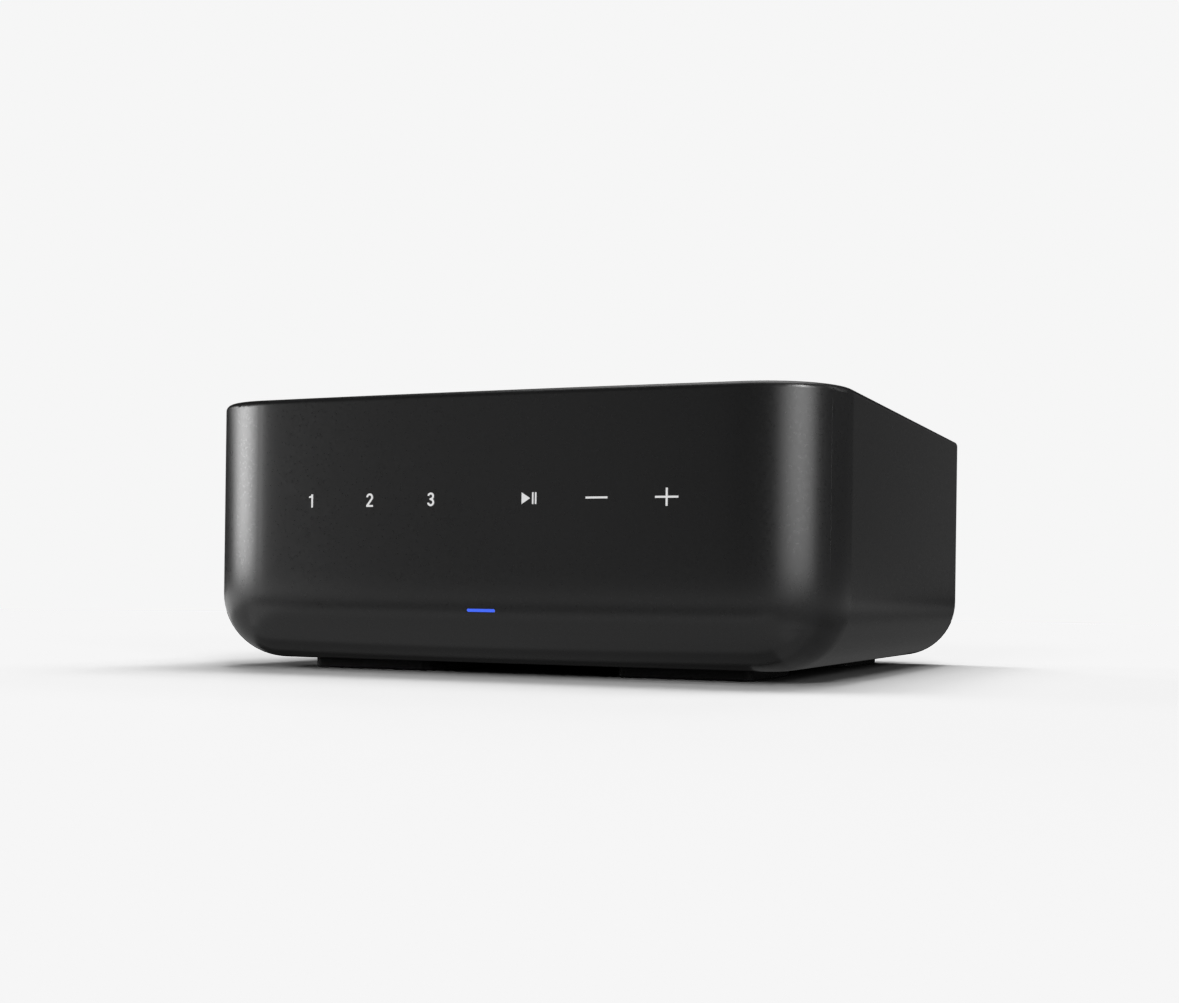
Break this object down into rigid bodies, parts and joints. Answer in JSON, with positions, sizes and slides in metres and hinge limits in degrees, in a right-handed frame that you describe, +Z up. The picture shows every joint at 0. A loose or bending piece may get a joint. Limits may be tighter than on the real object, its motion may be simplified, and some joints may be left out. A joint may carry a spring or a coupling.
{
  "type": "streaming amplifier",
  "caption": "Compact box-shaped streaming amplifier with a soft-cornered shell, touch symbols and a status light in front, pad feet and a rear panel with sockets and speaker posts.",
  "frame": {"origin": "on the surface it stands on, under the middle of the whole object, posts included", "axes": "+X to the right seen from the front, +Y to the rear where the sockets are, +Z up"},
  "size_m": [0.217, 0.217, 0.088],
  "materials": {
    "housing_plastic": "fine speckled texture, matt with a soft sheen",
    "plate_paint": "fine powder coat, matt",
    "panel_paint": "fine powder coat, matt",
    "foot_rubber": "soft matt",
    "symbol_window": "translucent white, flush",
    "status_light": "clear blue, lit",
    "white_plastic": "moulded",
    "circuit_board": "solder mask",
    "flat_cable": "ribbon film",
    "heatsink_metal": "extruded, plain",
    "shield_can": "tinned",
    "aerial_film": "copper on film",
    "lead_jacket": "insulated",
    "coil_ferrite": "ferrite",
    "capacitor_can": "sleeved can",
    "winding": "enamelled wire",
    "insulator_film": "clear smoke film",
    "spacer_brass": "plain",
    "screw_zinc": "zinc plated",
    "screw_black": "black oxide",
    "socket_plastic": "moulded, satin",
    "socket_shell": "plated steel",
    "blade_metal": "nickel plated",
    "shutter_plastic": "moulded",
    "socket_gold": "gold plated",
    "insert_white": "moulded",
    "button_plastic": "moulded",
    "terminal_plastic": "moulded",
    "nut_red": "moulded",
    "nut_black": "moulded"
  },
  "bodies": {
    "case": {"main_housing": "housing_plastic", "base_plate": "plate_paint", "rear_panel": "panel_paint", "foot_front_left": "foot_rubber", "foot_front_right": "foot_rubber", "foot_rear_left": "foot_rubber", "foot_rear_right": "foot_rubber", "icon_1": "symbol_window", "icon_2": "symbol_window", "icon_3": "symbol_window", "icon_play_pause": "symbol_window", "icon_minus": "symbol_window", "icon_plus": "symbol_window", "status_light_guide": "status_light", "touch_light_frame": "white_plastic", "touch_board": "circuit_board", "touch_ribbon": "flat_cable", "main_board": "circuit_board", "processor_heatsink": "heatsink_metal", "wifi_module": "shield_can", "antennas": "aerial_film", "antenna_leads": "lead_jacket", "amp_board": "circuit_board", "amp_heatsink": "heatsink_metal", "amp_inductors": "coil_ferrite", "amp_capacitors": "capacitor_can", "psu_board": "circuit_board", "psu_transformer": "coil_ferrite", "psu_capacitors": "capacitor_can", "psu_heatsink": "heatsink_metal", "psu_choke": "winding", "psu_insulator": "insulator_film", "board_standoffs": "spacer_brass", "board_screws": "screw_zinc", "base_screws": "screw_black", "rear_screws": "screw_black", "mains_inlet": "socket_plastic", "mains_pins": "blade_metal", "ethernet_socket": "socket_plastic", "usb_socket": "socket_shell", "hdmi_socket": "socket_shell", "optical_socket": "socket_plastic", "minijack_socket": "socket_plastic", "rca_block": "socket_plastic", "rca_sleeves": "socket_gold", "rca_inserts": "insert_white", "line_board": "circuit_board", "terminal_block": "terminal_plastic", "terminal_studs": "socket_gold", "internal_wiring": "lead_jacket"},
    "button": {"pair_button": "button_plastic"},
    "shutter": {"optical_shutter": "shutter_plastic"},
    "washer_1": {"terminal_washer_1": "socket_gold"},
    "nut_1": {"terminal_nut_1": "nut_black"},
    "washer_2": {"terminal_washer_2": "socket_gold"},
    "nut_2": {"terminal_nut_2": "nut_red"},
    "washer_3": {"terminal_washer_3": "socket_gold"},
    "nut_3": {"terminal_nut_3": "nut_black"},
    "washer_4": {"terminal_washer_4": "socket_gold"},
    "nut_4": {"terminal_nut_4": "nut_red"}
  },
  "joints": [
    {"name": "pair_button_press", "type": "slide", "parent": "case", "child": "button", "axis": [0, -1, 0], "range_m": [0, 0.0006], "stiffness_N_per_m": 1200},
    {"name": "optical_shutter_swing", "type": "hinge", "parent": "case", "child": "shutter", "pos_m": [0.015, 0.08725, 0.0632], "axis": [-1, 0, 0], "range_deg": [0, 90], "stiffness_Nm_per_rad": 0.0004},
    {"name": "terminal_1_travel", "type": "slide", "parent": "case", "child": "washer_1", "axis": [0, 1, 0], "range_m": [0, 0.004]},
    {"name": "terminal_1_turn", "type": "hinge", "parent": "washer_1", "child": "nut_1", "pos_m": [0.02, 0.1, 0.031], "axis": [0, 1, 0], "range_deg": [0, 1800]},
    {"name": "terminal_2_travel", "type": "slide", "parent": "case", "child": "washer_2", "axis": [0, 1, 0], "range_m": [0, 0.004]},
    {"name": "terminal_2_turn", "type": "hinge", "parent": "washer_2", "child": "nut_2", "pos_m": [0.039, 0.1, 0.031], "axis": [0, 1, 0], "range_deg": [0, 1800]},
    {"name": "terminal_3_travel", "type": "slide", "parent": "case", "child": "washer_3", "axis": [0, 1, 0], "range_m": [0, 0.004]},
    {"name": "terminal_3_turn", "type": "hinge", "parent": "washer_3", "child": "nut_3", "pos_m": [0.058, 0.1, 0.031], "axis": [0, 1, 0], "range_deg": [0, 1800]},
    {"name": "terminal_4_travel", "type": "slide", "parent": "case", "child": "washer_4", "axis": [0, 1, 0], "range_m": [0, 0.004]},
    {"name": "terminal_4_turn", "type": "hinge", "parent": "washer_4", "child": "nut_4", "pos_m": [0.077, 0.1, 0.031], "axis": [0, 1, 0], "range_deg": [0, 1800]}
  ],
  "couplings": [
    {"joint": "terminal_1_turn", "follows": "terminal_1_travel", "rad_per_m": 7853.9},
    {"joint": "terminal_2_turn", "follows": "terminal_2_travel", "rad_per_m": 7853.9},
    {"joint": "terminal_3_turn", "follows": "terminal_3_travel", "rad_per_m": 7853.9},
    {"joint": "terminal_4_turn", "follows": "terminal_4_travel", "rad_per_m": 7853.9}
  ]
}
